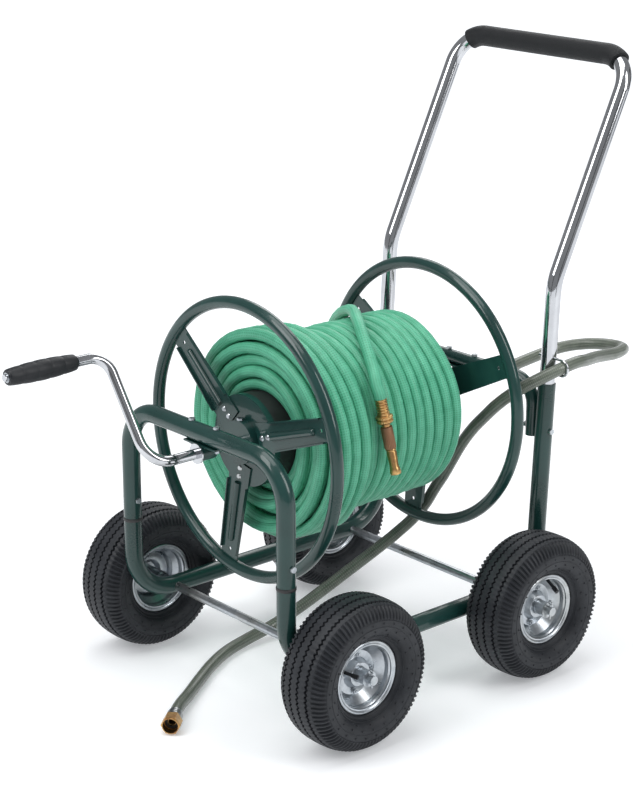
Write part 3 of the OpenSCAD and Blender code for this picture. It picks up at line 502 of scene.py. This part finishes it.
def make_nozzle():
    """The ribbed shank, the collar, the knurled brown sleeve and the bright flared tip."""
    bright, dull = brass_metal(), dark_brass_metal()
    shank = [(0.003, 0.0002), (0.0085, 0.0002)]
    for k in range(5):
        start = 0.0012 + 0.0046 * k
        shank += [(0.0102, start), (0.0102, start + 0.0019), (0.0082, start + 0.0026),
                  (0.0082, start + 0.0040)]
    shank += [(0.0106, 0.0242), (0.0106, 0.0282), (0.005, 0.0282), (0.005, 0.0432), (0.0075, 0.0432),
              (0.0075, 0.0492), (0.005, 0.0492), (0.005, 0.0782), (0.003, 0.0782)]
    pieces = [on_nozzle("nozzle_shank_visual", spun(shank, 40, 0.0003), bright, "reel", ("nozzle_body",))]
    collar = [(0.0051, 0.0284), (0.0115, 0.0284), (0.0115, 0.0300), (0.0150, 0.0306), (0.0150, 0.0336),
              (0.0122, 0.0345), (0.0122, 0.0362), (0.0143, 0.0368), (0.0143, 0.0408), (0.0112, 0.0430),
              (0.0051, 0.0430)]
    bm = spun(collar, KNURL_STEPS, 0.0003)
    knurl(bm, 0.0138, 0.955)
    pieces.append(on_nozzle("nozzle_collar_visual", bm, bright, "reel", ("nozzle_nut",)))
    sleeve = [(0.0052, 0.0496), (0.0096, 0.0496), (0.0103, 0.0504), (0.0103, 0.0870), (0.0092, 0.0880),
              (0.0052, 0.0880)]
    bm = spun(sleeve, KNURL_STEPS)
    knurl(bm, 0.0101, 0.94)
    pieces.append(on_nozzle("nozzle_sleeve_visual", bm, dull, "nozzle_barrel", ("nozzle_barrel",)))
    tip = [(0.0040, 0.0882), (0.0086, 0.0882), (0.0092, 0.0905), (0.0078, 0.0925), (0.0088, 0.0945),
           (0.0074, 0.1200), (0.0082, 0.1216), (0.0096, 0.1300), (0.0092, 0.1336), (0.0040, 0.1336)]
    pieces.append(on_nozzle("nozzle_tip_visual", spun(tip, 40, 0.0003), bright, "nozzle_barrel"))
    return pieces


def make_leg_bands(plastic):
    """The dark band that covers each front leg's joint."""
    band = [(0.0161, -0.003), (0.0166, -0.003), (0.0171, -0.002), (0.0171, 0.002), (0.0166, 0.003),
            (0.0161, 0.003)]
    low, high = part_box("front_frame")
    for side, tag in ((-1, "left"), (1, "right")):
        bm = spun(band, 48)
        spot = Matrix.Translation((side * LEG_X, (low[1] + high[1]) / 2, low[2])) @ upright((0, 0, 1))
        bmesh.ops.transform(bm, matrix=spot, verts=bm.verts)
        piece(f"{tag}_leg_band", bm, plastic, "chassis")


def make_wound_hose():
    points = wound_route()
    wound, length = hose("wound_hose", points, WOUND_D, 2, "reel",
                         ("hose_pack", "hose_free_end"))
    # the last colour is painted shade, tinted into the gaps between the weave's strands
    wound.data.materials.append(woven_hose(
        "green_hose", length, 0.0062, 7, (0.120, 0.50, 0.315), (0.070, 0.38, 0.225), (0.012, 0.145, 0.078),
        specular_ior_level=0.5))
    make_nozzle()


def make_leader():
    route = [tuple(v * MM for v in p) for p in LEADER_ROUTE]
    leader, length = hose("leader", route, LEADER_D, 10, "chassis", ("leader_hose",))
    leader.data.materials.append(woven_hose(
        "braided_hose", length, 0.0065, 6, (0.118, 0.140, 0.108), (0.066, 0.082, 0.062), (0.25, 0.27, 0.22),
        coat_weight=0.5, coat_roughness=0.15))


make_camera()
make_wound_hose()
make_leader()
make_studio()


# ---- wheels ----
TYRE_R = 0.131
TYRE_HALF = 0.052
RIM_EDGE_R = 0.064
TYRE_MIDDLE = (TYRE_R + RIM_EDGE_R) / 2
TREAD_STEPS = 360
LUG_STEPS = 4
GROOVES = (-0.027, -0.009, 0.009, 0.027)
GROOVE_DEPTH = 0.0045
ZIG = 0.0021
LUGS_FROM = 0.036
LUG_DEPTH = 0.0036
PIP_R = 0.0019
BOLT_CIRCLE_R = 0.0325


def crown_radius(x):
    """Radius of the tyre's tread at that distance from its middle plane."""
    return TYRE_MIDDLE + (TYRE_R - TYRE_MIDDLE) * (1 - (abs(x) / TYRE_HALF) ** 2.5) ** 0.4


def side_half(radius):
    """Half of the tyre's width at that radius."""
    reach = TYRE_R - TYRE_MIDDLE if radius > TYRE_MIDDLE else TYRE_MIDDLE - RIM_EDGE_R - 0.001
    return TYRE_HALF * (1 - (abs(radius - TYRE_MIDDLE) / reach) ** 2.5) ** 0.4


def tyre_side():
    """One side's outline from the bead to the shoulder, with its rim guard and its ridges."""
    ridges = {0.0735: 0.0007, 0.0925: 0.0006, 0.1045: 0.0005}
    side = [(0.0552, 0.0312), (0.0652, 0.0312), (0.0662, 0.0338), (0.0680, 0.0352), (0.0696, 0.0352)]
    for step in range(13):
        radius = 0.0712 + step * 0.0028
        side.append((radius, side_half(radius)))
    for radius, height in ridges.items():
        x = side_half(radius)
        side += [(radius - 0.0007, x), (radius - 0.0004, x + height), (radius + 0.0004, x + height),
                 (radius + 0.0007, x)]
    return sorted(side)


def tyre_outline():
    """The tyre's whole outline: two sides, a crown with four grooves, and the inside."""
    side = tyre_side()
    last = side[-1][0]
    shoulder = [(crown_radius(x), x) for x in (0.0514, 0.0505, 0.0488, 0.0462, 0.0430, 0.0395, 0.0362,
                                               0.0345)]
    shoulder = [p for p in shoulder if p[0] > last]
    crown = []
    for x in sorted(GROOVES, reverse=True):
        for step, depth in ((0.0085, 0), (0.0042, 0), (0.0023, 0), (0.0014, GROOVE_DEPTH),
                            (-0.0014, GROOVE_DEPTH), (-0.0023, 0), (-0.0042, 0)):
            crown.append((crown_radius(x + step) - depth, x + step))
    crown = [p for k, p in enumerate(crown) if k == 0 or abs(p[1] - crown[k - 1][1]) > 1e-4]
    mirrored = [(r, -x) for r, x in reversed(side + shoulder)]
    inside = [(0.0552, -0.021), (0.075, -0.030), (0.0975, -0.044), (0.118, -0.034), (0.1225, 0),
              (0.118, 0.034), (0.0975, 0.044), (0.075, 0.030), (0.0552, 0.021)]
    return side + shoulder + crown + mirrored + inside


def tread_wave(vert):
    """Moves a tread vertex sideways along the zig-zag, or sinks it between two shoulder lugs."""
    x, radius = vert.co.x, math.hypot(vert.co.y, vert.co.z)
    if radius < 0.104:
        return
    angle = math.atan2(vert.co.y, vert.co.z)
    step = round(angle / (2 * math.pi) * TREAD_STEPS)
    if abs(x) < LUGS_FROM:
        zig = (0, 1, 0, -1)[step % LUG_STEPS]
        vert.co.x += ZIG * zig * min(1, (LUGS_FROM - abs(x)) / 0.004)
        return
    sunk = LUG_DEPTH if step % LUG_STEPS < 2 else 0.0
    outward = Vector((0.75 * math.copysign(1, x), 0.66 * math.sin(angle), 0.66 * math.cos(angle)))
    ease = min(1, (abs(x) - LUGS_FROM) / 0.004 + 0.25, max(0.0, (radius - 0.104) / 0.006))
    vert.co -= outward * sunk * ease
    slant = math.copysign(1, x) * (abs(x) - LUGS_FROM) * 1.6 + (TYRE_R - radius) * 0.5
    vert.co = Matrix.Rotation(slant, 3, "X") @ vert.co


def add_pips(bm):
    """Rings of small moulding pips on both side walls."""
    for side in (-1, 1):
        for radius, count, turn in ((0.0785, 16, 0.1), (0.0865, 22, 0.5), (0.0985, 26, 0.3)):
            for k in range(count):
                angle = 2 * math.pi * (k + turn) / count
                x = side * (side_half(radius) + 0.0001)
                spot = Matrix.Rotation(angle, 4, "X") @ Matrix.Translation((x, 0, radius))
                bmesh.ops.create_icosphere(bm, subdivisions=1, radius=PIP_R, matrix=spot)


def make_tyre():
    bm = spun(tyre_outline(), TREAD_STEPS)
    for vert in bm.verts:
        tread_wave(vert)
    bmesh.ops.recalc_face_normals(bm, faces=bm.faces)
    add_pips(bm)
    return bm


def make_rim():
    """A pressed rim: rolled edges, bead seats, a well and a dished centre. Outboard is +X."""
    half, edge, seat, wall = 0.034, RIM_EDGE_R, RIM_EDGE_R - 0.009, 0.0024
    well = seat - 0.009
    hub = 0.0131
    outline = [
        (edge, half - 0.0012), (edge, half - wall), (seat, half - wall), (seat, half - 0.016),
        (well, half - 0.024), (well, -half + 0.024), (seat, -half + 0.016), (seat, -half + wall),
        (edge, -half + wall), (edge, -half + 0.0012),
        (edge - 0.0022, -half), (edge - 0.0055, -half + 0.0014), (seat - wall, -half + 0.0078),
        (seat - wall, -half + 0.0165), (well - wall, -half + 0.0245),
        (well - wall, half - 0.0255), (well - wall - 0.004, 0.0015), (hub + 0.012, 0.0015), (hub + 0.006, 0.014),
        (hub, 0.014), (hub, 0.0164), (hub + 0.0075, 0.0164), (hub + 0.0135, 0.004),
        (well - wall - 0.005, 0.004), (well - wall, half - 0.0235), (seat - wall, half - 0.0155),
        (seat - wall, half - 0.0078), (edge - 0.0055, half - 0.0014), (edge - 0.0022, half)]
    return spun(outline, 96, 0.0009)


def make_rim_bolts():
    """Four hex bolts with washers that hold the rim's halves together."""
    bm = bmesh.new()
    for k in range(4):
        angle = math.pi / 4 + k * math.pi / 2
        spot = Matrix.Rotation(angle, 4, "X") @ Matrix.Translation((0.004, 0, BOLT_CIRCLE_R))
        spot = spot @ Matrix.Rotation(math.pi / 2, 4, "Y")
        for radius, height, base, sides in ((0.0058, 0.001, 0, 20), (0.0046, 0.0042, 0.001, 6),
                                            (0.0024, 0.0022, 0.0052, 12)):
            bmesh.ops.create_cone(bm, cap_ends=True, segments=sides, radius1=radius, radius2=radius,
                                  depth=height, matrix=spot @ Matrix.Translation((0, 0, base + height / 2)))
    bevel_sharp(bm, 0.0003, 50)
    return bm


def make_wheels(rubber, zinc):
    tyre, rim, bolts = make_tyre(), make_rim(), make_rim_bolts()
    for k, tag in enumerate(WHEELS):
        centre = middle_of(tag + "_hub")
        side = math.copysign(1, centre.x)
        turn = Matrix.Translation(centre) @ Matrix.Rotation(0 if side > 0 else math.pi, 4, "Z")
        turn = turn @ Matrix.Rotation(0.7 * k, 4, "X")
        for kind, source, finish, slot in (("tyre", tyre, rubber, "tyre_rubber"),
                                           ("rim", rim, zinc, "zinc_rim"),
                                           ("rim_bolts", bolts, zinc, "zinc_steel")):
            bm = source.copy()
            bmesh.ops.transform(bm, matrix=turn, verts=bm.verts)
            stands_for = (tag + "_" + kind,) if kind != "rim_bolts" else ()
            piece(f"{tag}_{kind}_visual", bm, finish, tag + "_wheel", stands_for)


# ---- crank grip, finishes of the CAD nodes, and floor ----
def make_crank_grip(rubber):
    """A moulded barrel-shaped grip with five fields and a narrow groove between them."""
    low, high = (Vector(c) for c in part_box("crank_grip"))
    centre = (low + high) / 2
    length = high.y - low.y
    bore = 0.00605
    steps = 96
    outline = [(bore, -length / 2)]
    for k in range(steps + 1):
        t = k / steps
        swell = abs(math.sin(t * 5 * math.pi)) ** 0.22
        outline.append((0.0122 + 0.0036 * math.sin(t * math.pi) + 0.0014 * swell, (t - 0.5) * length))
    outline.append((bore, length / 2))
    bm = spun(outline, 48)
    bmesh.ops.transform(bm, matrix=Matrix.Translation(centre) @ upright((0, 1, 0)), verts=bm.verts)
    piece("crank_grip_visual", bm, rubber, "crank_grip", ("crank_grip",), 40)


CAD_FINISHES = {
    "green_enamel": green_enamel, "chrome_plate": chrome_plate, "zinc_steel": zinc_steel,
    "brass": brass_metal, "tyre_rubber": tyre_rubber, "black_rubber": black_rubber,
    "foam": handle_foam, "black_plastic": black_plastic}


def finish_cad_nodes():
    """Gives every CAD node that stays in view the finish of its slot."""
    made = {slot: make() for slot, make in CAD_FINISHES.items()}
    made["zinc_rim"] = made["zinc_steel"]
    for part in frame["record"]["subparts"]:
        material = made.get(part["material_slot"])
        if material:
            mesh = NODES[part["node"]].data
            mesh.materials.clear()
            mesh.materials.append(material)
    return made


def make_floor():
    paper = Finish("pale_floor", roughness=0.8, specular_ior_level=0.2, emission_color=(0.95, 0.97, 1))
    away = paper.place.add("VectorMath", {0: paper.place}, out=1, operation="LENGTH")
    paper.set(emission_strength=0.3 + 0.6 * away.clamped(0.8, 5.5))
    paper.set(base_color=paper.place.noise(2, 3).mix((0.80, 0.81, 0.82), (0.84, 0.85, 0.86)))
    bm = bmesh.new()
    bmesh.ops.create_circle(bm, cap_ends=True, segments=96, radius=14)
    mesh = bpy.data.meshes.new("floor")
    bm.to_mesh(mesh)
    bm.free()
    mesh.materials.append(paper.material)
    floor = bpy.data.objects.new("floor", mesh)
    bpy.context.collection.objects.link(floor)


finishes = finish_cad_nodes()
make_wheels(finishes["tyre_rubber"], finishes["zinc_steel"])
make_crank_grip(finishes["black_rubber"])
make_leg_bands(finishes["black_plastic"])
make_floor()
